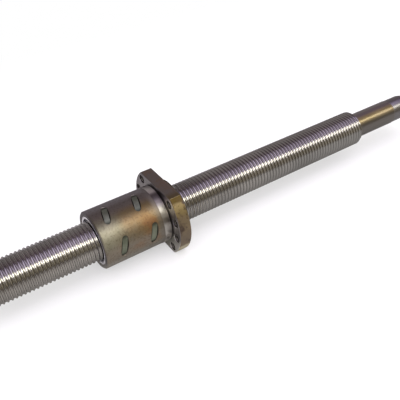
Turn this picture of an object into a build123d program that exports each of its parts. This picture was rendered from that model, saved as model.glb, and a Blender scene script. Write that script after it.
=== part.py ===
from build123d import *
import os
from math import atan2, cos, degrees, hypot, radians, sin, sqrt, tan

# A ball screw: a long screw shaft with a journal at each end, and a flanged ball nut on it.
# Millimetres. +X runs along the shaft towards its long journal, +Z up, square to the
# flange's two flats. The origin is on the shaft's axis, in the flange's bolting face.
# The flange stands on its lower flat. The nut turns on the shaft and moves along it.

os.makedirs("parts", exist_ok=True)

# Screw shaft
screw_diameter = 50.0
lead = 5.0
thread_length = 561.0
thread_beyond_nut = 136.0
thread_end_chamfer = 2.5
left_journal_diameter = 35.0
left_journal_length = 40.0
neck_diameter = 36.0
neck_length = 76.0
seat_diameter = 35.0
seat_length = 28.0
taper_length = 13.0
taper_angle = 13.0
journal_chamfer = 1.5

# Ball nut
pilot_diameter = 75.0
pilot_length = 10.5
body_diameter = 74.2
body_length = 89.0
body_chamfer = 1.5
flange_diameter = 110.0
flange_thickness = 16.0
flange_across_flats = 85.0
flange_chamfer = 0.8
hub_length = 5.0
bolt_circle_diameter = 93.0
bolt_hole_diameter = 11.0
bolt_spacing_angle = 30.0
bolts_per_side = 4

# Ball circuits: each circuit is one turn of balls, closed by a return insert in the nut's wall
ball_diameter = 3.5
ball_pitch_diameter = 50.6
circuits_per_set = 3
circuit_sets = 2
circuit_step_leads = 1.2
set_step_leads = 8
first_insert_from_end = 18.8
first_insert_angle = 11.5

# Return inserts, seen from outside the nut
insert_length = 26.0
insert_width = 6.6
insert_skew_angle = 15.0
insert_recess = 1.0
insert_foot_relief = 1.2
crossing_angle = 54.0

# Wiper rings and what holds them in, the same at both ends of the nut
wiper_recess_diameter = 62.0
wiper_width = 6.0
retaining_ring_thickness = 2.0
retaining_ring_width = 2.9
retaining_ring_gap_angle = 24.0
retaining_ring_setback = 0.5

# Lubrication port in the middle of the flange's lower flat
port_diameter = 7.0
port_depth = 9.0
port_passage_diameter = 3.0
plug_length = 6.0
plug_setback = 0.6
plug_socket_across_flats = 4.0
plug_socket_depth = 3.0

# Clearances
nut_to_screw = 0.4
ball_to_crest = 0.3
ball_to_channel = 0.1
insert_fit = 0.05
wiper_fit = 0.1
wiper_to_screw = 0.3
wiper_end_play = 0.3
ring_fit = 0.03
plug_fit = 0.05

screw_radius = screw_diameter / 2
pilot_radius = pilot_diameter / 2
body_radius = body_diameter / 2
flange_radius = flange_diameter / 2
ball_radius = ball_diameter / 2
bore_radius = screw_radius + nut_to_screw
body_left_x = -body_length
hub_right_x = flange_thickness + hub_length
thread_left_x = body_left_x - thread_beyond_nut
thread_right_x = thread_left_x + thread_length


def along_shaft(x):
    """The plane square to the shaft at x, facing its long journal."""
    return Plane.YZ.offset(x)


def cylindrical_point(x, radius, angle):
    """A point by its angle around the shaft, from the top towards the front, where -Y is."""
    return Vector(x, -radius * sin(radians(angle)), radius * cos(radians(angle)))


# Screw shaft, turned from one bar, with its ball track left out: the shaft is a plain bar
# as wide as the crests of the track.
left_journal_radius = left_journal_diameter / 2
neck_radius = neck_diameter / 2
seat_radius = seat_diameter / 2
shaft_left_x = thread_left_x - left_journal_length
neck_right_x = thread_right_x + neck_length
taper_left_x = neck_right_x + seat_length
shaft_right_x = taper_left_x + taper_length
tip_radius = seat_radius - taper_length * tan(radians(taper_angle))
neck_step = neck_radius - seat_radius

with BuildPart() as screw_shaft:
    with BuildSketch(Plane.XZ):
        with BuildLine():
            Polyline(
                (shaft_left_x, 0),
                (shaft_left_x, left_journal_radius - journal_chamfer),
                (shaft_left_x + journal_chamfer, left_journal_radius),
                (thread_left_x, left_journal_radius),
                (thread_left_x, screw_radius - thread_end_chamfer),
                (thread_left_x + thread_end_chamfer, screw_radius),
                (thread_right_x - thread_end_chamfer, screw_radius),
                (thread_right_x, screw_radius - thread_end_chamfer),
                (thread_right_x, neck_radius),
                (neck_right_x - neck_step, neck_radius),
                (neck_right_x, seat_radius),
                (taper_left_x, seat_radius),
                (shaft_right_x, tip_radius),
                (shaft_right_x, 0),
                close=True,
            )
        make_face()
    revolve(axis=Axis.X)
screw_shaft.part.label = "screw_shaft"
export_step(screw_shaft.part, "parts/screw_shaft.step")


# Where each return insert sits. The circuits of a set follow one another along the track,
# each 72 degrees further round, so that the nut's wall keeps its strength between them.
circuit_step_angle = (circuit_step_leads - 1) * 360
circuit_places = []
for set_number in range(circuit_sets):
    for number_in_set in range(circuits_per_set):
        leads_along = set_number * set_step_leads + number_in_set * circuit_step_leads
        place_x = body_left_x + first_insert_from_end + leads_along * lead
        place_angle = first_insert_angle + number_in_set * circuit_step_angle
        circuit_places.append((place_x, place_angle))


def skewed_plane(place, skew):
    """A plane at an insert: z runs out from the shaft, x round it, turned by the skew."""
    place_x, place_angle = place
    outward = cylindrical_point(0, 1, place_angle)
    around = cylindrical_point(0, 1, place_angle + 90)
    long_way = around * cos(radians(skew)) - Vector(1, 0, 0) * sin(radians(skew))
    return Plane(origin=(place_x, 0, 0), x_dir=long_way, z_dir=outward)


# Nut: body, pilot and flange in one piece, with a window for each return insert. The pilot's
# diameter goes on through the flange and comes out behind it as a short hub.
wiper_recess_radius = wiper_recess_diameter / 2
ring_inner_depth = retaining_ring_setback + retaining_ring_thickness
wiper_recess_depth = ring_inner_depth + wiper_width + 2 * wiper_end_play
port_x = flange_thickness / 2
lower_flat_z = -flange_across_flats / 2
port_floor_z = lower_flat_z + port_depth

with BuildPart() as ball_nut:
    with BuildSketch(Plane.XZ):
        with BuildLine():
            Polyline(
                (body_left_x, bore_radius),
                (body_left_x, body_radius - body_chamfer),
                (body_left_x + body_chamfer, body_radius),
                (-pilot_length, body_radius),
                (-pilot_length, pilot_radius),
                (hub_right_x, pilot_radius),
                (hub_right_x, bore_radius),
                close=True,
            )
        make_face()
    revolve(axis=Axis.X)
    with BuildSketch(along_shaft(0)):
        Circle(flange_radius)
        Rectangle(flange_diameter, flange_across_flats, mode=Mode.INTERSECT)
        Circle(bore_radius, mode=Mode.SUBTRACT)
        for step in range(bolts_per_side):
            start = (step - (bolts_per_side - 1) / 2) * bolt_spacing_angle
            with PolarLocations(bolt_circle_diameter / 2, 2, start_angle=start):
                Circle(bolt_hole_diameter / 2, mode=Mode.SUBTRACT)
    extrude(amount=flange_thickness)
    flange_faces = ball_nut.faces().filter_by_position(Axis.X, 0, 0)
    flange_faces += ball_nut.faces().filter_by_position(Axis.X, flange_thickness, flange_thickness)
    rim_edges = [edge for face in flange_faces for edge in face.outer_wire().edges()]
    chamfer(rim_edges, length=flange_chamfer)

    # The two wiper recesses
    for end_x, inward in ((body_left_x, 1), (hub_right_x, -1)):
        with BuildSketch(along_shaft(end_x)):
            Circle(wiper_recess_radius)
        extrude(amount=inward * wiper_recess_depth, mode=Mode.SUBTRACT)

    # The windows of the return inserts, cut from the bore out through the wall
    for place in circuit_places:
        with BuildSketch(skewed_plane(place, insert_skew_angle)):
            SlotOverall(insert_length + 2 * insert_fit, insert_width + 2 * insert_fit)
        extrude(amount=pilot_radius, mode=Mode.SUBTRACT)

    # The lubrication port, and its passage to the track
    with BuildSketch(Plane.XY.offset(lower_flat_z)):
        with Locations((port_x, 0)):
            Circle(port_diameter / 2)
    extrude(amount=port_depth, mode=Mode.SUBTRACT)
    with BuildSketch(Plane.XY.offset(port_floor_z)):
        with Locations((port_x, 0)):
            Circle(port_passage_diameter / 2)
    extrude(amount=-port_floor_z, mode=Mode.SUBTRACT)
ball_nut.part.label = "ball_nut"
export_step(ball_nut.part, "parts/ball_nut.step")


# Return inserts. Each lifts its balls out of one turn of the track, carries them over the
# crest beside it, and lets them down into the turn before. Its channel is one cut of a disc
# cutter, so the way of the balls is an arc: from the track, over the crest, to the track.
pitch_radius = ball_pitch_diameter / 2
crossing_radius = screw_radius + ball_to_crest + ball_radius
crossing_shift = lead * (1 - crossing_angle / 360)
crossing_run = 2 * pitch_radius * sin(radians(crossing_angle / 2))
channel_skew_angle = degrees(atan2(crossing_shift, crossing_run))
half_chord = hypot(crossing_shift, crossing_run) / 2
arc_rise = crossing_radius - pitch_radius * cos(radians(crossing_angle / 2))
arc_radius = (half_chord**2 + arc_rise**2) / (2 * arc_rise)
cutter_radius = arc_radius + ball_radius + ball_to_channel
channel_width = ball_diameter + 2 * ball_to_channel
insert_radius = body_radius - insert_recess
insert_foot_radius = bore_radius + insert_foot_relief

for number, place in enumerate(circuit_places, start=1):
    place_x, place_angle = place
    along_channel = skewed_plane(place, channel_skew_angle)
    with BuildPart() as return_insert:
        with BuildSketch(skewed_plane(place, insert_skew_angle)):
            SlotOverall(insert_length, insert_width)
        extrude(amount=pilot_radius)
        with Locations((place_x, 0, 0)):
            Cylinder(insert_radius, insert_length, rotation=(0, 90, 0), mode=Mode.INTERSECT)
            Cylinder(insert_foot_radius, insert_length, rotation=(0, 90, 0), mode=Mode.SUBTRACT)
        with BuildSketch(Plane(along_channel.origin, along_channel.z_dir, along_channel.y_dir)):
            with Locations((crossing_radius - arc_radius, 0)):
                Circle(cutter_radius)
        extrude(amount=channel_width / 2, both=True, mode=Mode.SUBTRACT)
    return_insert.part.label = f"return_insert_{number}"
    export_step(return_insert.part, f"parts/return_insert_{number}.step")


# Wiper rings, and the split spring rings that hold them in, one of each at either end
wiper_radius = wiper_recess_radius - wiper_fit
wiper_bore_radius = screw_radius + wiper_to_screw
ring_outer_radius = wiper_recess_radius - ring_fit
ring_inner_radius = ring_outer_radius - retaining_ring_width
ring_gap = 2 * ring_outer_radius * sin(radians(retaining_ring_gap_angle / 2))
wiper_outer_depth = ring_inner_depth + wiper_end_play

for side, end_x, inward in (("left", body_left_x, 1), ("right", hub_right_x, -1)):
    wiper_face_x = end_x + inward * wiper_outer_depth
    with BuildPart() as wiper_ring:
        with BuildSketch(along_shaft(wiper_face_x)):
            Circle(wiper_radius)
            Circle(wiper_bore_radius, mode=Mode.SUBTRACT)
        extrude(amount=inward * wiper_width)
    wiper_ring.part.label = f"wiper_ring_{side}"
    export_step(wiper_ring.part, f"parts/wiper_ring_{side}.step")

    ring_face_x = end_x + inward * retaining_ring_setback
    with BuildPart() as retaining_ring:
        with BuildSketch(along_shaft(ring_face_x)):
            Circle(ring_outer_radius)
            Circle(ring_inner_radius, mode=Mode.SUBTRACT)
            with Locations((0, -ring_outer_radius)):
                Rectangle(ring_gap, ring_outer_radius, mode=Mode.SUBTRACT)
        extrude(amount=inward * retaining_ring_thickness)
    retaining_ring.part.label = f"retaining_ring_{side}"
    export_step(retaining_ring.part, f"parts/retaining_ring_{side}.step")


# Lubrication plug, a socket grub screw below the surface of the lower flat
plug_mouth_z = lower_flat_z + plug_setback
with BuildPart() as lubrication_plug:
    with BuildSketch(Plane.XY.offset(plug_mouth_z)):
        with Locations((port_x, 0)):
            Circle(port_diameter / 2 - plug_fit)
            RegularPolygon(plug_socket_across_flats / sqrt(3), 6, mode=Mode.SUBTRACT)
    extrude(amount=plug_socket_depth)
    with BuildSketch(Plane.XY.offset(plug_mouth_z + plug_socket_depth)):
        with Locations((port_x, 0)):
            Circle(port_diameter / 2 - plug_fit)
    extrude(amount=plug_length - plug_socket_depth)
lubrication_plug.part.label = "lubrication_plug"
export_step(lubrication_plug.part, "parts/lubrication_plug.step")
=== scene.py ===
from math import acos, ceil, cos, pi, radians, sin, sqrt

import bmesh
import bpy
from mathutils import Matrix, Vector


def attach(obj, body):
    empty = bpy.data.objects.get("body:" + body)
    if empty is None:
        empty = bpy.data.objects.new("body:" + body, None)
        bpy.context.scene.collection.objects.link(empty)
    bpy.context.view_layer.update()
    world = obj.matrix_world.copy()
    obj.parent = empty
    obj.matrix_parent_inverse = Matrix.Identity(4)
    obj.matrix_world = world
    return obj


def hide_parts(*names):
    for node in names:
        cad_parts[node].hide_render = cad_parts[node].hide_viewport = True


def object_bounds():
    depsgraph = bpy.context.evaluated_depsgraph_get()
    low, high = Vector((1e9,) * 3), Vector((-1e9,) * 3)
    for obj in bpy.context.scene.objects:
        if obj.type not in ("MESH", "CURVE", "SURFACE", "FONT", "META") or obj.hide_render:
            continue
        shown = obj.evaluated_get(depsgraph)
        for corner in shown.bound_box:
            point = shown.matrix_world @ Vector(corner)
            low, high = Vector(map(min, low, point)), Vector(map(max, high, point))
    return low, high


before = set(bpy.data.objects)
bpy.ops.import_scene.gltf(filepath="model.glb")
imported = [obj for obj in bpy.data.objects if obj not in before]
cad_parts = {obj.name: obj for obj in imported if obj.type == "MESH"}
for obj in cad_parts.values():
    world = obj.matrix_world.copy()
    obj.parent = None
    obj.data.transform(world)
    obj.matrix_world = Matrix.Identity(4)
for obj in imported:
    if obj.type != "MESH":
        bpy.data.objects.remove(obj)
cad_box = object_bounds()
scene = bpy.context.scene
scene.view_settings.view_transform = "Standard"


# Camera. It stands in front of the left end, above the shaft, and looks down along it, so
# that both ends of the shaft run out of the picture.
camera_place = Vector((-0.2521, -0.5131, 0.4570))
camera_looks_at = Vector((0.0575, -0.0106, -0.0003))
camera_roll = radians(-3.3)
camera_lens = 52.206
sensor_width = 36.0

camera = bpy.data.objects.new("camera", bpy.data.cameras.new("camera"))
camera.data.lens = camera_lens
camera.data.sensor_width = sensor_width
camera.data.sensor_fit = "HORIZONTAL"
camera.data.clip_start = 0.01
look = (camera_looks_at - camera_place).to_track_quat("-Z", "Y").to_matrix().to_4x4()
camera.matrix_world = Matrix.Translation(camera_place) @ look @ Matrix.Rotation(camera_roll, 4, "Z")
scene.collection.objects.link(camera)
scene.camera = camera


# Studio. White paper under the part and a room of plain colours round it: dark behind and
# above, a window over the shaft that turns from lilac to pale grey, a warm dark wall in
# front. The shaft mirrors these as bands.
class Signal:
    """A number, colour or vector in a node tree, so that a pattern is written as a sum."""

    def __init__(self, tree, socket):
        self.tree = tree
        self.socket = socket

    def math(self, operation, *others):
        return self.tree.node("ShaderNodeMath", {"operation": operation}, [self, *others])

    def __add__(self, other):
        return self.math("ADD", other)

    def __sub__(self, other):
        return self.math("SUBTRACT", other)

    def __mul__(self, other):
        return self.math("MULTIPLY", other)

    def __truediv__(self, other):
        return self.math("DIVIDE", other)

    def __rsub__(self, other):
        return self.tree.node("ShaderNodeMath", {"operation": "SUBTRACT"}, [other, self])

    def __rtruediv__(self, other):
        return self.tree.node("ShaderNodeMath", {"operation": "DIVIDE"}, [other, self])

    __radd__ = __add__
    __rmul__ = __mul__

    def smooth(self, low, high):
        """0 below low, 1 above high, and a soft step between them."""
        settings = {"interpolation_type": "SMOOTHSTEP"}
        return self.tree.node("ShaderNodeMapRange", settings, {0: self, 1: low, 2: high}, 0)

    def band(self, low, high, edge):
        """1 between low and high, with soft edges."""
        return self.smooth(low - edge, low + edge) * (1 - self.smooth(high - edge, high + edge))

    def ramp(self, stops):
        """The colour at this value, from stops given as (value from 0 to 1, colour)."""
        return self.tree.node("ShaderNodeValToRGB", {"stops": stops}, {0: self})

    def parts(self):
        """The x, y and z of this vector."""
        return [self.tree.node("ShaderNodeSeparateXYZ", {}, {0: self}, axis) for axis in "XYZ"]


class NodeWork:
    """A node tree and the one way that nodes are added to it."""

    def __init__(self, tree):
        self.tree = tree

    def node(self, kind, settings, values, output=0):
        """Adds a node of this kind, sets its settings, then the values or links of its sockets."""
        node = self.tree.nodes.new(kind)
        for name, setting in settings.items():
            if name == "stops":
                elements = node.color_ramp.elements
                while len(elements) < len(setting):
                    elements.new(0.5)
                for element, (place, colour) in zip(elements, setting):
                    element.position = place
                    element.color = (*colour, 1.0)
            else:
                setattr(node, name, setting)
        pairs = values.items() if isinstance(values, dict) else enumerate(values)
        for name, value in pairs:
            if isinstance(value, Signal):
                self.tree.links.new(value.socket, node.inputs[name])
            else:
                node.inputs[name].default_value = value
        return Signal(self, node.outputs[output]) if node.outputs else None

    def mix(self, share, first, second):
        """first where share is 0, second where it is 1; a plain colour is (red, green, blue)."""
        values = {0: share}
        for socket, colour in ((6, first), (7, second)):
            values[socket] = (*colour, 1.0) if isinstance(colour, tuple) else colour
        return self.node("ShaderNodeMix", {"data_type": "RGBA", "clamp_factor": True}, values, 2)

    def noise(self, place, scale, detail, roughness=0.5):
        values = {"Vector": place, "Scale": scale, "Detail": detail, "Roughness": roughness}
        return self.node("ShaderNodeTexNoise", {}, values)


# The room's colours go once round the shaft's axis: below it at 0, behind it at about 0.24,
# overhead at 0.49, in front at about 0.74.
room_stops = (
    (0.00, (0.30, 0.29, 0.28)),
    (0.14, (0.24, 0.225, 0.225)),
    (0.24, (0.23, 0.21, 0.215)),
    (0.32, (0.31, 0.285, 0.29)),
    (0.44, (0.20, 0.155, 0.175)),
    (0.52, (0.13, 0.085, 0.19)),
    (0.58, (0.13, 0.085, 0.17)),
    (0.675, (0.40, 0.36, 0.28)),
    (0.725, (0.24, 0.205, 0.145)),
    (0.765, (0.17, 0.145, 0.11)),
    (0.88, (0.38, 0.36, 0.34)),
    (1.00, (0.30, 0.29, 0.28)),
)
overhead = 0.49
room_tilt = 0.065
window_start = 0.488
window_end = 0.625
window_edge = 0.02
window_fade = (0.66, 0.78)
lilac_to_grey = (0.56, 0.61)
lilac = (0.86, 0.76, 1.02)
pale_grey = (0.72, 0.68, 0.68)
white = (1.0, 1.0, 1.0)
world = bpy.data.worlds.new("room")
world.use_nodes = True
world.node_tree.nodes.clear()
room = NodeWork(world.node_tree)
direction = room.node("ShaderNodeTexCoord", {}, {}, "Generated")
east, north, up = direction.parts()
way_round = (0.0 - north).math("ARCTAN2", up) / (2 * pi) + overhead + east * room_tilt
window = way_round.band(window_start, window_end, window_edge) * (1 - east.smooth(*window_fade))
window_colour = room.mix(way_round.smooth(*lilac_to_grey), lilac, pale_grey)
room_colour = room.mix(window, way_round.ramp(room_stops), window_colour)
seen_by_camera = room.node("ShaderNodeLightPath", {}, {}, "Is Camera Ray")
shown_colour = room.mix(seen_by_camera, room_colour, white)
background = room.node("ShaderNodeBackground", {}, {"Color": shown_colour, "Strength": 1.0})
room.node("ShaderNodeOutputWorld", {}, {"Surface": background})
scene.world = world


def lamp(name, place, aims_at, size, watts, colour, hidden_from, roll=0.0):
    """A soft rectangular lamp that aims at a point, turned by roll about its aim."""
    light = bpy.data.lights.new(name, "AREA")
    light.shape = "RECTANGLE"
    light.size, light.size_y = size
    light.energy = watts
    light.color = colour
    lamp_object = bpy.data.objects.new(name, light)
    aim = (Vector(aims_at) - Vector(place)).to_track_quat("-Z", "Y").to_matrix().to_4x4()
    lamp_object.matrix_world = Matrix.Translation(place) @ aim @ Matrix.Rotation(roll, 4, "Z")
    for ray in hidden_from:
        setattr(lamp_object, f"visible_{ray}", False)
    scene.collection.objects.link(lamp_object)


# The strip lamp makes the bright line on the shaft, the softbox the shadow on the paper.
strip_angle = radians(43)
strip_distance = 1.3
strip_aim = (0.2, 0.0, 0.0)
strip_y = -strip_distance * sin(strip_angle)
strip_z = strip_distance * cos(strip_angle)
strip_place = (strip_aim[0], strip_y, strip_z)
strip_size = (3.4, 0.34)
strip_watts = 13.1
strip_colour = (1.0, 0.985, 0.87)
strip_roll = radians(8)
lamp("strip_lamp", strip_place, strip_aim, strip_size, strip_watts, strip_colour, ("diffuse",), strip_roll)

softbox_place = (0.15, -0.25, 1.3)
softbox_aim = (0.15, 0.0, 0.0)
softbox_size = (4.6, 4.2)
softbox_watts = 99
lamp("top_softbox", softbox_place, softbox_aim, softbox_size, softbox_watts, white, ("glossy",))

floor_size = 8.0
floor_z = cad_box[0][2]
floor_mesh = bpy.data.meshes.new("floor")
half = floor_size / 2
floor_corners = [(x, y, floor_z) for x, y in ((-half, -half), (half, -half), (half, half), (-half, half))]
floor_mesh.from_pydata(floor_corners, [], [(0, 1, 2, 3)])
floor_object = bpy.data.objects.new("floor", floor_mesh)
scene.collection.objects.link(floor_object)
floor_material = bpy.data.materials.new("white_sweep")
floor_material.use_nodes = True
floor_material.node_tree.nodes.clear()
paper = NodeWork(floor_material.node_tree)
in_mirror = paper.node("ShaderNodeLightPath", {}, {}, "Is Glossy Ray")
floor_place = paper.node("ShaderNodeTexCoord", {}, {}, "Object")
paper_x, paper_y = floor_place.parts()[:2]

# In the steel's mirror the paper is greyer than to the eye, and darker behind and far in front.
left_grey = (0.395, 0.388, 0.36)
right_grey = (0.265, 0.267, 0.253)
front_grey = (0.11, 0.10, 0.085)
back_grey = (0.22, 0.21, 0.215)
far_in_front = 1 - (paper_y + paper_x * 0.8).smooth(-0.5, -0.12)
near_paper = paper.mix(paper_x.smooth(-0.1, 0.3), left_grey, right_grey)
before_part = paper.mix(far_in_front, near_paper, front_grey)
mirrored_paper = paper.mix(paper_y.smooth(0.0, 0.25), before_part, back_grey)
paper_white = (0.86, 0.86, 0.86)
paper_colour = paper.mix(in_mirror, paper_white, mirrored_paper)
matt = paper.node("ShaderNodeBsdfDiffuse", {}, {"Color": paper_colour})

# To the camera the paper is lifted towards white: by half under the part, fully away from it.
glow = paper.node("ShaderNodeEmission", {}, {"Color": (*white, 1.0), "Strength": 1.0})
camera_ray = paper.node("ShaderNodeLightPath", {}, {}, "Is Camera Ray")
beyond_ends = (paper_x - 0.1).math("ABSOLUTE").smooth(0.5, 1.2)
beside = paper_y.math("ABSOLUTE").smooth(0.2, 0.7)
near_lift = 0.50 - paper_x.smooth(-0.2, 0.15) * 0.05
lift = near_lift + (1 - near_lift) * beyond_ends.math("MAXIMUM", beside)
lifted = paper.node("ShaderNodeMixShader", {}, {0: camera_ray * lift, 1: matt, 2: glow})
paper.node("ShaderNodeOutputMaterial", {}, {"Surface": lifted})
floor_mesh.materials.append(floor_material)


# Screw shaft. One bar of bearing steel, its ball track ground as a round groove that winds
# right-handed from end to end, its neck, seat and taper turned and ground after it.
MM = 0.001
crest_radius = 25.0 * MM
lead = 5.0 * MM
ball_diameter = 3.5 * MM
pitch_radius = 25.3 * MM
track_radius = 1.04 * ball_diameter / 2
edge_break = 0.15 * MM
track_left = -225.0 * MM
track_right = 336.0 * MM
end_chamfer = 2.5 * MM
neck_end = 412.0 * MM
taper_start = 440.0 * MM
crest_x = -70.2 * MM
crest_degrees = 11.5
groove_steps = 6
steps_round = 64
merge_distance = 0.004 * MM
grain_depth = 0.1 * MM


def coated(name, layers, grain_strength=0.25, metallic=1.0):
    """A material of which layers(work, place) gives the colour, roughness and grain height."""
    material = bpy.data.materials.new(name)
    material.use_nodes = True
    material.node_tree.nodes.clear()
    work = NodeWork(material.node_tree)
    place = work.node("ShaderNodeTexCoord", {}, {}, "Object")
    colour, roughness, grain = layers(work, place)
    bump = {"Strength": grain_strength, "Distance": grain_depth, "Height": grain}
    normal = work.node("ShaderNodeBump", {}, bump)
    values = {"Base Color": colour, "Metallic": metallic, "Roughness": roughness, "Normal": normal}
    surface = work.node("ShaderNodeBsdfPrincipled", {}, values)
    work.node("ShaderNodeOutputMaterial", {}, {"Surface": surface})
    return material


def stretched(work, place, along, across):
    """The place with its x and its y and z scaled, so that a grain runs round the shaft."""
    values = {0: place, 1: (along, across, across)}
    return work.node("ShaderNodeVectorMath", {"operation": "MULTIPLY"}, values)


def turn_from_top(y, z):
    """The share of a turn round the shaft, 0 at the top and 0.25 at the front."""
    return (0.0 - y).math("ARCTAN2", z) / (2 * pi)


def shaft_layers(work, place):
    x, y, z = place.parts()
    turn = turn_from_top(y, z)
    grind = work.noise(stretched(work, place, 2600.0, 60.0), 1.0, 3.0)
    cloud = work.noise(place, 22.0, 3.0)
    cloudy = cloud.smooth(0.35, 0.7)

    # The groove is painted dark as painted shade, more to the right and on the upper side.
    share_of_lead = ((x - crest_x) / lead - turn + crest_degrees / 360).math("FRACT")
    groove_shade_colour = (0.14, 0.128, 0.115)
    groove_shade = share_of_lead.band(0.05, 0.68, 0.05) * (0.38 + x.smooth(-0.12, 0.05) * 0.32)
    groove_shade = groove_shade * (1 - turn.smooth(0.12, 0.21) * 0.3)
    bright = work.mix(cloudy, (0.46, 0.445, 0.425), (0.55, 0.53, 0.505))
    track = work.mix(groove_shade, bright, groove_shade_colour)

    # The neck is painted lighter on top and behind than in front and below; high in front, where the
    # lamp's highlight lies, it is painted yellow as a painted sheen, and the bevel beside the seat
    # carries a painted highlight.
    golden_sheen = work.mix(cloudy, (0.42, 0.34, 0.20), (0.55, 0.45, 0.30))
    deep_gold_sheen = work.mix(cloudy, (0.36, 0.29, 0.13), (0.46, 0.38, 0.18))
    neck_sheen = work.mix(turn.smooth(0.085, 0.12), deep_gold_sheen, golden_sheen)
    plain = work.mix(turn.smooth(0.02, 0.06), (0.38, 0.345, 0.325), (0.28, 0.256, 0.237))
    neck = work.mix(turn.band(0.05, 0.15, 0.03), plain, neck_sheen)
    seat = (0.32, 0.305, 0.31)
    seam_glint = x.band(neck_end - 0.8 * MM, neck_end + 0.1 * MM, 0.05 * MM)
    turned = work.mix(x.smooth(neck_end - 0.6 * MM, neck_end), neck, seat)
    turned = work.mix(seam_glint, turned, (0.85, 0.83, 0.80))

    on_track = x.band(track_left, track_right, 0.3 * MM)
    colour = work.mix(on_track, turned, track)
    roughness = 0.26 - on_track * 0.13 + grind * 0.03 + cloud * 0.04
    return colour, roughness, grind


shaft_steel = coated("ground_shaft_steel", shaft_layers, 0.04)


class ShapeTree(NodeWork):
    """A geometry tree with named inputs for its sizes, which makes one plain mesh."""

    def __init__(self, name, sizes):
        super().__init__(bpy.data.node_groups.new(name, "GeometryNodeTree"))
        self.sizes = sizes
        self.tree.interface.new_socket("Shape", in_out="OUTPUT", socket_type="NodeSocketGeometry")
        for label, value in sizes.items():
            kind = "NodeSocketInt" if isinstance(value, int) else "NodeSocketFloat"
            self.tree.interface.new_socket(label, in_out="INPUT", socket_type=kind)
        entry = self.tree.nodes.new("NodeGroupInput")
        self.given = {label: Signal(self, entry.outputs[label]) for label in sizes}

    def finish(self, shape, material, name):
        """Ends the tree, runs it on an empty mesh and returns the result as a plain object."""
        real = self.node("GeometryNodeRealizeInstances", {}, {0: shape})
        painted = self.node("GeometryNodeSetMaterial", {}, {"Geometry": real, "Material": material})
        self.node("NodeGroupOutput", {}, {0: painted})
        holder = bpy.data.objects.new(name, bpy.data.meshes.new(name))
        scene.collection.objects.link(holder)
        modifier = holder.modifiers.new(name, "NODES")
        modifier.node_group = self.tree
        for item in self.tree.interface.items_tree:
            if item.in_out == "INPUT":
                modifier[item.identifier] = self.sizes[item.name]
        view = holder.evaluated_get(bpy.context.evaluated_depsgraph_get())
        mesh = bpy.data.meshes.new_from_object(view)
        holder.modifiers.clear()
        mesh.materials.clear()
        mesh.materials.append(material)
        mesh.polygons.foreach_set("material_index", [0] * len(mesh.polygons))
        holder.data = mesh
        return holder


def ball_track(name, side, land_radius, end_radius, left_x, right_x, material):
    """The helical ball track between two ends, cut into a shaft (side 1) or a bore (side -1)."""
    half_opening = acos((side * (pitch_radius - land_radius) + edge_break) / track_radius)
    crest_at_top = crest_x - lead * crest_degrees / 360
    turns_before = 2
    turns_after = 1
    land_columns = 2
    track_sizes = {
        "Side": side,
        "Land radius": land_radius,
        "End radius": end_radius,
        "Lead": lead,
        "Groove centre radius": pitch_radius,
        "Groove radius": track_radius,
        "Groove half angle": half_opening,
        "Start": (crest_at_top - left_x) % lead + left_x - turns_before * lead,
        "Left end": left_x,
        "Right end": right_x,
        "Steps round": steps_round,
        "Turns": ceil((right_x - left_x) / lead) + turns_before + turns_after,
        "Groove steps": groove_steps,
    }
    track = ShapeTree(name, track_sizes)
    given = track.given
    columns = given["Groove steps"] + (2 * land_columns + 1)
    grid_rows = given["Turns"] * given["Steps round"] + 1
    grid = track.node("GeometryNodeMeshGrid", {}, {2: grid_rows, 3: columns})
    index = track.node("GeometryNodeInputIndex", {}, {})
    row = (index / columns).math("FLOOR")
    half_steps = given["Groove steps"] / 2
    from_middle = index - row * columns - half_steps - land_columns
    reach = from_middle.math("ABSOLUTE")
    inside = reach.math("MINIMUM", half_steps)
    outside = reach - inside
    slope = inside / half_steps * given["Groove half angle"]
    half_width = given["Groove half angle"].math("SINE") * given["Groove radius"]
    land_step = (given["Lead"] / 2 - half_width) / land_columns
    offset = slope.math("SINE") * given["Groove radius"] + outside * land_step
    groove_depth = slope.math("COSINE") * given["Groove radius"] * given["Side"]
    groove = given["Groove centre radius"] - groove_depth
    on_land = outside.math("MINIMUM", 1.0)
    free_radius = groove * (1 - on_land) + given["Land radius"] * on_land
    lead_share = row / given["Steps round"] + 0.5
    free_x = given["Start"] + given["Lead"] * lead_share + from_middle.math("SIGN") * offset
    held_x = free_x.math("MAXIMUM", given["Left end"]).math("MINIMUM", given["Right end"])
    from_end = (held_x - given["Left end"]).math("MINIMUM", given["Right end"] - held_x)
    chamfer = given["End radius"] * given["Side"] + from_end
    radius = (free_radius * given["Side"]).math("MINIMUM", chamfer) * given["Side"]
    angle = row / given["Steps round"] * (2 * pi)
    ring = [held_x, 0.0 - radius * angle.math("SINE"), radius * angle.math("COSINE")]
    place = track.node("ShaderNodeCombineXYZ", {}, ring)
    wound = track.node("GeometryNodeSetPosition", {}, {"Geometry": grid, "Position": place})
    joined = track.node("GeometryNodeMergeByDistance", {}, {"Geometry": wound, "Distance": merge_distance})
    return track.finish(joined, material, name)


end_root_radius = crest_radius - end_chamfer
shaft_sizes = (1.0, crest_radius, end_root_radius, track_left, track_right)
shaft = ball_track("tracked_screw_shaft", *shaft_sizes, shaft_steel)


def lathe(work, outline, steps):
    """Turns an outline of (x, radius) points round the shaft's axis; a radius of 0 is a pole."""
    rings = []
    for x, ring_radius in outline:
        if ring_radius == 0:
            rings.append([work.verts.new((x, 0.0, 0.0))])
            continue
        angles = [2 * pi * step / steps for step in range(steps)]
        points = [(x, -ring_radius * sin(angle), ring_radius * cos(angle)) for angle in angles]
        rings.append([work.verts.new(point) for point in points])
    for near, far in zip(rings, rings[1:]):
        for step in range(steps):
            after = (step + 1) % steps
            corners = [near[step % len(near)], near[after % len(near)]]
            corners += [far[after % len(far)], far[step % len(far)]]
            work.faces.new(list(dict.fromkeys(corners)))


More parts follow.
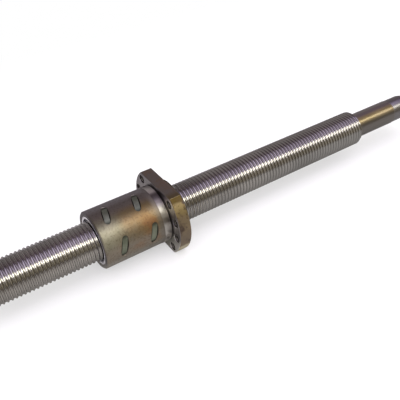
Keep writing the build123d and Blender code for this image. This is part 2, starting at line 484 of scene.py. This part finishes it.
def rounded(outline, radius, steps=3):
    """An outline of (x, radius) points with each inner corner rounded by up to this radius."""
    most_of_a_side = 0.45
    smooth = [outline[0]]
    for before, corner, after in zip(outline, outline[1:], outline[2:]):
        corner_point = Vector(corner)
        to_before = Vector(before) - corner_point
        to_after = Vector(after) - corner_point
        reach = min(radius, most_of_a_side * to_before.length, most_of_a_side * to_after.length)
        start = corner_point + to_before.normalized() * reach
        end = corner_point + to_after.normalized() * reach
        for step in range(steps + 1):
            share = step / steps
            pull = 2 * share * (1 - share)
            curve = start * (1 - share) ** 2 + corner_point * pull + end * share**2
            smooth.append(tuple(curve))
    smooth.append(outline[-1])
    return smooth


def write_mesh(piece, work):
    """Writes the work into the piece with its doubles merged and its faces turned outwards."""
    bmesh.ops.remove_doubles(work, verts=work.verts, dist=merge_distance)
    bmesh.ops.recalc_face_normals(work, faces=work.faces)
    work.to_mesh(piece.data)
    work.free()


def shade_round(piece, crease_degrees):
    """Shades the piece as round, apart from its edges that are sharper than this."""
    piece.data.shade_smooth()
    piece.data.set_sharp_from_angle(angle=radians(crease_degrees))


centre_radius = 5.0 * MM
drill_radius = 2.0 * MM
cone_depth = 5.2 * MM
drill_depth = 9.0 * MM
drill_tip = 1.2 * MM
edge_round = 0.25 * MM
end_bevel = 1.5 * MM
left_end = -265.0 * MM
journal_radius = 17.5 * MM
journal_groove_radius = 17.2 * MM
journal_groove_width = 2.2 * MM
shoulder_slope = 0.4 * MM
right_end = 453.0 * MM
shoulder_root = 18.4 * MM
neck_radius = 17.98 * MM
neck_bevel = 0.7 * MM
seat_radius = 17.5 * MM
seat_groove_radius = 17.3 * MM
seat_groove_width = 0.9 * MM
taper_end_radius = 14.5 * MM
left_outline = [
    (left_end + drill_depth + drill_tip, 0),
    (left_end + drill_depth, drill_radius),
    (left_end + cone_depth, drill_radius),
    (left_end, centre_radius),
    (left_end, journal_radius - end_bevel),
    (left_end + end_bevel, journal_radius),
    (track_left - journal_groove_width, journal_radius),
    (track_left - journal_groove_width, journal_groove_radius),
    (track_left - shoulder_slope, journal_groove_radius),
    (track_left, journal_groove_radius + shoulder_slope),
    (track_left, end_root_radius),
]
right_outline = [
    (track_right, end_root_radius),
    (track_right, shoulder_root),
    (track_right + shoulder_slope, neck_radius),
    (neck_end - neck_bevel, neck_radius),
    (neck_end, seat_groove_radius),
    (neck_end + seat_groove_width, seat_groove_radius),
    (neck_end + seat_groove_width + shoulder_slope, seat_radius),
    (taper_start, seat_radius),
    (right_end, taper_end_radius),
    (right_end, centre_radius),
    (right_end - cone_depth, drill_radius),
    (right_end - drill_depth, drill_radius),
    (right_end - drill_depth - drill_tip, 0),
]
shaft_work = bmesh.new()
shaft_work.from_mesh(shaft.data)
for outline in (left_outline, right_outline):
    lathe(shaft_work, rounded(outline, edge_round), steps_round)
write_mesh(shaft, shaft_work)
shade_round(shaft, crease_degrees=35)
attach(shaft, "screw")
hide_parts("screw_shaft")


# Ball nut. Body, pilot and flange are one forging of case-hardened steel, turned all over;
# the pilot band beside the flange is ground bright, the rest has the brown of handled steel.
bore_radius = 25.4 * MM
bore_end_radius = 27.4 * MM
recess_radius = 31.0 * MM
recess_depth = 9.1 * MM
recess_bevel = 0.3 * MM
nut_left = -89.0 * MM
body_radius = 37.1 * MM
pilot_left = -10.5 * MM
pilot_radius = 37.5 * MM
pilot_bevel = 0.2 * MM
flange_radius = 55.0 * MM
flange_back = 16.0 * MM
flat_height = 42.5 * MM
nut_right = 21.0 * MM
edge_bevel = 0.8 * MM
relief_width = 1.6 * MM
relief_depth = 1.0 * MM
facets_per_step = 3
nut_steps = steps_round * facets_per_step


def nut_layers(work, place):
    x, y, z = place.parts()
    radius = (y * y + z * z).math("SQRT")
    height = z.math("ABSOLUTE")
    turn = turn_from_top(y, z)
    grind = work.noise(stretched(work, place, 1800.0, 45.0), 1.0, 3.0)
    cloud = work.noise(place, 26.0, 4.0, 0.6)
    blot = work.noise(place, 60.0, 4.0, 0.65)
    fleck = work.noise(place, 170.0, 4.0, 0.6)
    speck = work.noise(place, 420.0, 3.0, 0.7)

    # In front, where the lamp's highlight lies, the body is painted pale yellow to tan as a painted
    # sheen; elsewhere it is browner, and on top it is painted plum to grey as painted shade.
    shade = work.mix(cloud.smooth(0.35, 0.7), (0.30, 0.265, 0.22), (0.37, 0.32, 0.26))
    pale = work.mix(blot.smooth(0.35, 0.65), (0.37, 0.36, 0.265), (0.45, 0.43, 0.33))
    tan = work.mix(blot.smooth(0.35, 0.65), (0.27, 0.215, 0.115), (0.35, 0.265, 0.135))
    golden_sheen = work.mix(x.smooth(-82.0 * MM, -28.0 * MM), pale, tan)
    front = turn.band(0.05, 0.215, 0.03)
    body = work.mix(front * (0.45 + cloud.smooth(0.3, 0.6) * 0.55), shade, golden_sheen)
    on_top = (1 - turn.smooth(0.0, 0.10)) * turn.smooth(-0.25, -0.1)
    crown_shade = work.mix(turn.smooth(-0.04, 0.01), (0.33, 0.31, 0.325), (0.20, 0.18, 0.165))
    body = work.mix(on_top * 0.85, body, crown_shade)

    # Stains lie over it: warm brown in front, rust lower down and specks of dirt all over. With them
    # go a dark band above the front, painted shade at the top edge of the sheen, and pale grey
    # underneath, a painted reflection of the paper.
    warm = x.band(-58.0 * MM, -16.0 * MM, 9.0 * MM) * front * cloud.smooth(0.25, 0.55)
    shade_above_sheen = turn.band(0.04, 0.093, 0.033)
    rusty = cloud.smooth(0.41, 0.60) * blot.smooth(0.36, 0.60) * turn.band(0.13, 0.27, 0.04)
    body_stains_and_light = (
        (warm * 0.65, (0.36, 0.225, 0.105)),
        # Painted shade above the sheen.
        (shade_above_sheen * 0.6, (0.05, 0.046, 0.005)),
        (rusty * x.smooth(-80.0 * MM, -45.0 * MM) * 0.8, (0.34, 0.175, 0.085)),
        # Painted reflection of the paper underneath.
        (turn.smooth(0.285, 0.33) * 0.7, (0.46, 0.45, 0.42)),
        (speck.smooth(0.48, 0.66) * 0.4, (0.12, 0.09, 0.065)),
    )
    for share, overlay_colour in body_stains_and_light:
        body = work.mix(share, body, overlay_colour)

    # Below the body's surface, in the windows and the bore, the steel is painted dark as painted
    # shade, and the windows' bevelled edges are painted dark grey as painted shade; the left end face
    # is turned and grey, painted pale low down as a painted reflection of the paper.
    below_surface = 1 - radius.smooth(body_radius - 0.8 * MM, body_radius - 0.4 * MM)
    past_end_bevel = x.smooth(nut_left + 1.4 * MM, nut_left + 1.6 * MM)
    body = work.mix(below_surface * past_end_bevel, body, (0.03, 0.026, 0.022))
    just_below = radius.band(body_radius - 0.38 * MM, body_radius - 0.06 * MM, 0.03 * MM)
    window_bevel_shade = just_below * x.smooth(nut_left + 1.6 * MM, nut_left + 1.8 * MM)
    body = work.mix(window_bevel_shade * 0.8, body, (0.15, 0.14, 0.125))
    outside_recess = radius.smooth(recess_radius + 0.2 * MM, recess_radius + 0.4 * MM)
    end_face = (1 - x.smooth(nut_left + 0.1 * MM, nut_left + 0.4 * MM)) * outside_recess
    end_face_lit_below = work.mix(turn.smooth(0.28, 0.36), (0.20, 0.185, 0.195), (0.50, 0.48, 0.47))
    body = work.mix(end_face, body, end_face_lit_below)

    # The pilot is ground bright, with dark bands along it that are painted reflections of the room,
    # and painted shade in its relief groove.
    pilot = work.mix(blot.smooth(0.35, 0.7), (0.60, 0.58, 0.55), (0.78, 0.75, 0.70))
    in_relief = radius.band(pilot_radius - 1.5 * MM, pilot_radius - 0.3 * MM, 0.1 * MM)
    pilot_reflections_and_shade = (
        (turn.band(0.028, 0.10, 0.015) * 0.75, (0.14, 0.12, 0.095)),
        (turn.band(0.10, 0.165, 0.015) * 0.45, (0.20, 0.18, 0.15)),
        (turn.band(0.022, 0.07, 0.012) * 0.55, (0.05, 0.042, 0.038)),
        (turn.band(0.275, 0.32, 0.015) * 0.5, (0.15, 0.13, 0.115)),
        ((1 - turn.smooth(-0.07, -0.04)) * 0.45, (0.15, 0.13, 0.135)),
        (turn.band(0.172, 0.205, 0.01) * 0.5, (0.15, 0.12, 0.10)),
        (in_relief, (0.05, 0.045, 0.04)),
    )
    for share, painted_band in pilot_reflections_and_shade:
        pilot = work.mix(share, pilot, painted_band)
    body = work.mix(x.smooth(-19.0 * MM, -12.0 * MM) * 0.5, body, (0.27, 0.255, 0.235))
    on_pilot = x.band(pilot_left + 0.1 * MM, 0.2 * MM, 0.15 * MM)
    before_flange = work.mix(on_pilot, body, pilot)

    # The flange's face beside the pilot is grey with a yellow-tan band high in front, and is painted
    # pale low down as a painted reflection of the paper.
    face = work.mix(blot.smooth(0.3, 0.7), (0.24, 0.225, 0.235), (0.31, 0.29, 0.30))
    face = work.mix(turn.band(0.10, 0.165, 0.02) * 0.7, face, (0.46, 0.41, 0.30))
    face = work.mix(turn.smooth(0.27, 0.31), face, (0.80, 0.78, 0.74))

    # Its rim is brown and stained, with rust spots. High in front a mottled tan band is a painted
    # sheen; above it the rim is painted darker, partly stained brown and partly painted shade that
    # dims the lamp's highlight, and underneath it is painted pale as a painted highlight. The flats
    # are duller, and the bolt holes are painted dark inside as painted shade, with a bright ring just
    # behind the mouth as a painted highlight.
    rim = work.mix(cloud.smooth(0.38, 0.62), (0.25, 0.20, 0.15), (0.34, 0.265, 0.17))
    tan_sheen_band = turn.band(0.132, 0.18, 0.012) * blot.smooth(0.25, 0.5)
    upper_stain_and_shade = 1 - (turn + blot * 0.06).smooth(0.145, 0.165)
    rust_spots = turn.band(0.10, 0.20, 0.02) * fleck.smooth(0.48, 0.60)
    rim_stains_and_light = (
        (tan_sheen_band, (0.33, 0.255, 0.125)),
        (upper_stain_and_shade, (0.13, 0.095, 0.05)),
        # Painted shade over the lamp's highlight at the top of the rim.
        (1 - turn.smooth(0.124, 0.14), (0.10, 0.07, 0.024)),
        (rust_spots * 0.75, (0.11, 0.075, 0.035)),
        (blot.smooth(0.52, 0.7), (0.13, 0.095, 0.075)),
        # Painted highlight underneath.
        (turn.smooth(0.308, 0.325) * 0.85, (0.75, 0.70, 0.52)),
    )
    for share, overlay_colour in rim_stains_and_light:
        rim = work.mix(share, rim, overlay_colour)
    flat = work.mix(blot.smooth(0.4, 0.65), (0.25, 0.22, 0.195), (0.27, 0.205, 0.155))
    flat = work.mix(turn.smooth(0.075, 0.105), flat, (0.20, 0.155, 0.085))
    rim = work.mix(height.smooth(flat_height - 0.6 * MM, flat_height - 0.3 * MM), rim, flat)
    below_flats = 1 - height.smooth(flat_height - 1.0 * MM, flat_height - 0.8 * MM)
    before_back = 1 - x.smooth(flange_back - 0.5 * MM, flange_back - 0.3 * MM)
    within_rim = radius.band(pilot_radius + 0.4 * MM, flange_radius - 1.0 * MM, 0.1 * MM)
    hole_shade_and_glint = work.mix(x.band(1.4 * MM, 3.2 * MM, 0.6 * MM), (0.03, 0.026, 0.024), (0.60, 0.57, 0.52))
    rim = work.mix(within_rim * below_flats * before_back, rim, hole_shade_and_glint)

    flange = work.mix(x.smooth(0.35 * MM, 0.45 * MM), face, rim)
    colour = work.mix(x.smooth(-0.1 * MM, 0.05 * MM), before_flange, flange)
    roughness = 0.41 - on_pilot * 0.15 + cloud * 0.12 + blot * 0.10 - grind * 0.06
    return colour, roughness, grind


nut_steel = coated("brown_nut_steel", nut_layers)
nut_outline = [
    (nut_left + recess_depth, recess_radius),
    (nut_left + recess_bevel, recess_radius),
    (nut_left, recess_radius + recess_bevel),
    (nut_left, body_radius - end_bevel),
    (nut_left + end_bevel, body_radius),
    (pilot_left, body_radius),
    (pilot_left, pilot_radius - pilot_bevel),
    (pilot_left + pilot_bevel, pilot_radius),
    (-relief_width, pilot_radius),
    (-relief_width, pilot_radius - relief_depth),
    (0.0, pilot_radius - relief_depth),
    (0.0, flange_radius - edge_bevel),
    (edge_bevel, flange_radius),
    (flange_back - edge_bevel, flange_radius),
    (flange_back, flange_radius - edge_bevel),
    (flange_back, pilot_radius),
    (nut_right - edge_bevel, pilot_radius),
    (nut_right, pilot_radius - edge_bevel),
    (nut_right, recess_radius + recess_bevel),
    (nut_right - recess_bevel, recess_radius),
    (nut_right - recess_depth, recess_radius),
]
bore_left = nut_left + recess_depth
bore_right = nut_right - recess_depth
bore_sizes = (-1.0, bore_radius, bore_end_radius, bore_left, bore_right)
nut = ball_track("flanged_ball_nut", *bore_sizes, nut_steel)
nut_work = bmesh.new()
nut_work.from_mesh(nut.data)
lathe(nut_work, nut_outline, nut_steps)


def around(radius, step, steps):
    """The y and z of one step on a circle round the shaft's axis."""
    return -radius * sin(2 * pi * step / steps), radius * cos(2 * pi * step / steps)


# Each recess floor joins the fine ring of the recess to the coarser ring of the track.
for floor_x in (bore_left, bore_right):
    for step in range(steps_round):
        inner = [(floor_x, *around(bore_end_radius, step + past, steps_round)) for past in (1, 0)]
        fine_steps = range(step * facets_per_step, (step + 1) * facets_per_step + 1)
        outer = [(floor_x, *around(recess_radius, fine_step, nut_steps)) for fine_step in fine_steps]
        nut_work.faces.new([nut_work.verts.new(corner) for corner in inner + outer])
write_mesh(nut, nut_work)


def stacked_rings(work, rings):
    """A closed solid through rings of points, each with the same number of points."""
    loops = [[work.verts.new(point) for point in ring] for ring in rings]
    for near, far in zip(loops, loops[1:]):
        for step in range(len(near)):
            after = (step + 1) % len(near)
            work.faces.new([near[step], near[after], far[after], far[step]])
    work.faces.new(loops[0])
    work.faces.new(loops[-1])


def circle(centre, axis, radius, steps=36):
    """The points of a circle; axis is X or Z."""
    points = []
    for step in range(steps):
        across, along = radius * cos(2 * pi * step / steps), radius * sin(2 * pi * step / steps)
        sideways = Vector((0, across, along)) if axis == "X" else Vector((across, along, 0))
        points.append(Vector(centre) + sideways)
    return points


# The cutters: two for the flats, then one for each bolt hole, each window and the port. They
# widen at the faces of the nut, so that the edges that they leave there are broken.
past_faces = 0.5 * MM
above_flange = 1.4 * flat_height
beside_flange = 1.1 * flange_radius
flats = bmesh.new()
for up_or_down in (1, -1):
    flat_outline = [
        (-past_faces, above_flange),
        (-past_faces, flat_height - edge_bevel - past_faces),
        (edge_bevel, flat_height),
        (flange_back - edge_bevel, flat_height),
        (flange_back + past_faces, flat_height - edge_bevel - past_faces),
        (flange_back + past_faces, above_flange),
    ]
    sides = [[(x, y, up_or_down * z) for x, z in flat_outline] for y in (-beside_flange, beside_flange)]
    stacked_rings(flats, sides)

bolt_circle_radius = 46.5 * MM
bolt_hole_radius = 5.5 * MM
bolt_angles = (45, 75, 105, 135, 225, 255, 285, 315)
hole_bevel = 0.4 * MM
hole_mouth = bolt_hole_radius + hole_bevel + past_faces
holes = bmesh.new()
for bolt_angle in bolt_angles:
    hole_y = -bolt_circle_radius * sin(radians(bolt_angle))
    hole_z = bolt_circle_radius * cos(radians(bolt_angle))
    stations = ((-past_faces, hole_mouth), (hole_bevel, bolt_hole_radius))
    stations += tuple((flange_back - x, radius) for x, radius in reversed(stations))
    stacked_rings(holes, [circle((x, hole_y, hole_z), "X", radius) for x, radius in stations])

port_x = flange_back / 2
port_radius = 3.5 * MM
port_floor = flat_height - 9.0 * MM
passage_radius = 1.5 * MM
passage_end = 20.0 * MM
port_stations = (
    (flat_height + past_faces, port_radius + hole_bevel + past_faces),
    (flat_height - hole_bevel, port_radius),
    (port_floor, port_radius),
    (port_floor, passage_radius),
    (passage_end, passage_radius),
)
stacked_rings(holes, [circle((port_x, 0, -height), "Z", radius) for height, radius in port_stations])

insert_sets = 2
inserts_in_set = 3
insert_step_along = 6.0 * MM
insert_step_degrees = 72
step_to_next_set = 40.0 * MM
insert_places = []
for set_index in range(insert_sets):
    for index_in_set in range(inserts_in_set):
        insert_x = crest_x + set_index * step_to_next_set + index_in_set * insert_step_along
        insert_places.append((insert_x, radians(crest_degrees + index_in_set * insert_step_degrees)))
window_length = 26.1 * MM
window_width = 6.7 * MM
window_skew = radians(15)
window_bevel = 0.7 * MM
window_mouth = 2 * window_bevel
window_root = 20.0 * MM
window_top = 42.0 * MM


def window_ring(place, spread, above_surface=None, height=None, steps=12):
    """An obround ring at a window, spread outwards, at a height over the nut's body or its axis."""
    place_x, place_angle = place
    ring = []
    for end in (1, -1):
        for step in range(steps + 1):
            turn = pi * (step / steps - 0.5)
            cap_radius = window_width / 2 + spread
            along = end * ((window_length - window_width) / 2 + cap_radius * cos(turn))
            across = end * cap_radius * sin(turn)
            round_way = along * cos(window_skew) + across * sin(window_skew)
            x = place_x - along * sin(window_skew) + across * cos(window_skew)
            level = height or sqrt(body_radius**2 - round_way**2) + above_surface
            y = -level * sin(place_angle) - round_way * cos(place_angle)
            z = level * cos(place_angle) - round_way * sin(place_angle)
            ring.append((x, y, z))
    return ring


for insert_place in insert_places:
    rings = [
        window_ring(insert_place, 0, height=window_root),
        window_ring(insert_place, 0, -window_bevel),
        window_ring(insert_place, window_mouth, window_bevel),
        window_ring(insert_place, window_mouth, height=window_top),
    ]
    stacked_rings(holes, rings)

for cutter_name, cutter_work in (("flats", flats), ("holes", holes)):
    bmesh.ops.recalc_face_normals(cutter_work, faces=cutter_work.faces)
    cutter = bpy.data.objects.new(cutter_name, bpy.data.meshes.new(cutter_name))
    cutter_work.to_mesh(cutter.data)
    cutter_work.free()
    scene.collection.objects.link(cutter)
    cut = nut.modifiers.new(cutter_name, "BOOLEAN")
    cut.operation = "DIFFERENCE"
    cut.solver = "MANIFOLD"
    cut.object = cutter
cut_nut = nut.evaluated_get(bpy.context.evaluated_depsgraph_get())
cut_mesh = bpy.data.meshes.new_from_object(cut_nut)
for cut in list(nut.modifiers):
    cutter = cut.object
    nut.modifiers.remove(cut)
    bpy.data.objects.remove(cutter)
nut.data = cut_mesh
shade_round(nut, crease_degrees=30)
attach(nut, "nut")
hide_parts("ball_nut")


# Balls. Six closed rows of bearing-steel balls that roll between the two tracks; at its insert
# each row climbs over one crest of the screw and drops back into the turn that it came from.
def ball_layers(work, place):
    cloud = work.noise(place, 300.0, 3.0)
    colour = work.mix(cloud, (0.50, 0.49, 0.475), (0.60, 0.59, 0.57))
    return colour, 0.10 + cloud * 0.08, cloud


row_sizes = {
    "Rows": len(insert_places),
    "Rows in a set": inserts_in_set,
    "Balls in a row": 44,
    "Ball radius": ball_diameter / 2,
    "First place": crest_x,
    "First angle": radians(crest_degrees),
    "Step along": insert_step_along,
    "Step round": radians(insert_step_degrees),
    "Step to next set": step_to_next_set,
    "Lead": lead,
    "Pitch radius": pitch_radius,
    "Climb": 1.6 * MM,
    "Half crossing": radians(27),
}
rows = ShapeTree("ball_rows", row_sizes)
given = rows.given
ball_line = rows.node("GeometryNodeMeshLine", {}, {"Count": given["Rows"] * given["Balls in a row"]})

# The small addition keeps a division that should give a whole number from falling short of it.
small_addition = 0.001
ball_index = rows.node("GeometryNodeInputIndex", {}, {})
row_number = (ball_index / given["Balls in a row"] + small_addition).math("FLOOR")
ball_number = ball_index - row_number * given["Balls in a row"]
set_number = (row_number / given["Rows in a set"] + small_addition).math("FLOOR")
number_in_set = row_number - set_number * given["Rows in a set"]
from_insert = (ball_number + 0.5) / given["Balls in a row"] * (2 * pi) - pi
side_of_insert = from_insert.math("SIGN")
in_groove = (from_insert - side_of_insert * pi) / (2 * pi) * given["Lead"]
crossing_share = (from_insert / given["Half crossing"]).math("MINIMUM", 1.0).math("MAXIMUM", -1.0)
at_crossing_end = (given["Half crossing"] - pi) / (2 * pi) * given["Lead"]
on_crossing = (crossing_share * (pi / 2)).math("SINE") * at_crossing_end
crosses = from_insert.math("ABSOLUTE").math("LESS_THAN", given["Half crossing"])
along_row = in_groove * (1 - crosses) + on_crossing * crosses
climb = ((crossing_share * pi).math("COSINE") + 1) / 2 * given["Climb"]
ball_angle = from_insert + given["First angle"] + number_in_set * given["Step round"]
row_x = given["First place"] + number_in_set * given["Step along"] + set_number * given["Step to next set"]
row_radius = given["Pitch radius"] + climb
ball_y = 0.0 - row_radius * ball_angle.math("SINE")
ball_z = row_radius * ball_angle.math("COSINE")
ball_centre = rows.node("ShaderNodeCombineXYZ", {}, [row_x + along_row, ball_y, ball_z])
centres = rows.node("GeometryNodeSetPosition", {}, {"Geometry": ball_line, "Position": ball_centre})
ball = rows.node("GeometryNodeMeshIcoSphere", {}, {"Radius": given["Ball radius"], "Subdivisions": 2})
smooth_ball = rows.node("GeometryNodeSetShadeSmooth", {}, {"Geometry": ball})
filled = rows.node("GeometryNodeInstanceOnPoints", {}, {"Points": centres, "Instance": smooth_ball})
balls = rows.finish(filled, coated("ball_steel", ball_layers, 0.02), "bearing_balls")
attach(balls, "nut")


# Return inserts. Six small obround steel blocks, each let into a skewed window of the nut's
# wall and bonded there a little below the surface; each turns one row of balls back.
def insert_layers(work, place):
    grain = work.noise(place, 900.0, 3.0)
    cloud = work.noise(place, 90.0, 3.0)
    colour = work.mix(cloud.smooth(0.35, 0.65), (0.22, 0.245, 0.19), (0.30, 0.33, 0.26))

    # Every insert is painted darker towards its two ends, some 20 degrees from its middle, as painted
    # shade where it meets the window's walls.
    y, z = place.parts()[1:]
    turn = turn_from_top(y, z)
    steps_from_first = turn * (360 / insert_step_degrees) - crest_degrees / insert_step_degrees
    share_past_middle = (steps_from_first + 0.5).math("FRACT") - 0.5
    degrees_from_middle = share_past_middle.math("ABSOLUTE") * insert_step_degrees
    end_shade = (0.07, 0.075, 0.06)
    colour = work.mix(degrees_from_middle.smooth(12.0, 19.0) * 0.85, colour, end_shade)
    return colour, 0.42 + cloud * 0.12, grain


def paint(node_name, material):
    """Gives a CAD node's mesh this material and no other."""
    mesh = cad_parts[node_name].data
    mesh.materials.clear()
    mesh.materials.append(material)


insert_steel = coated("grey_insert_steel", insert_layers)
for number in range(1, len(insert_places) + 1):
    paint(f"return_insert_{number}", insert_steel)


# Wiper rings and spring rings. A plastic ring in each end of the nut keeps dirt out of the
# track, and a split ring of spring steel holds it in its recess.
def ring_layers(work, place):
    grain = work.noise(place, 700.0, 2.0)
    cloud = work.noise(place, 60.0, 3.0)
    colour = work.mix(cloud, (0.78, 0.77, 0.80), (0.88, 0.87, 0.90))
    return colour, 0.24 + cloud * 0.1, grain


def wiper_layers(work, place):
    grain = work.noise(place, 1200.0, 2.0)
    cloud = work.noise(place, 70.0, 3.0)
    colour = work.mix(cloud, (0.09, 0.09, 0.10), (0.13, 0.13, 0.145))
    return colour, 0.45 + cloud * 0.1, grain


ring_steel = coated("spring_ring_steel", ring_layers, metallic=0.5)
wiper_plastic = coated("wiper_plastic", wiper_layers, metallic=0.0)
for end in ("left", "right"):
    paint(f"wiper_ring_{end}", wiper_plastic)
    paint(f"retaining_ring_{end}", ring_steel)


# Lubrication plug. A short grub screw of blackened steel with a hexagon socket, screwed into
# the port of the flange's lower flat; it closes the passage that leads grease to the track.
def plug_layers(work, place):
    grain = work.noise(place, 1500.0, 2.0)
    cloud = work.noise(place, 200.0, 3.0)
    colour = work.mix(cloud, (0.05, 0.05, 0.055), (0.09, 0.09, 0.09))
    return colour, 0.4 + cloud * 0.15, grain


paint("lubrication_plug", coated("black_plug_steel", plug_layers))
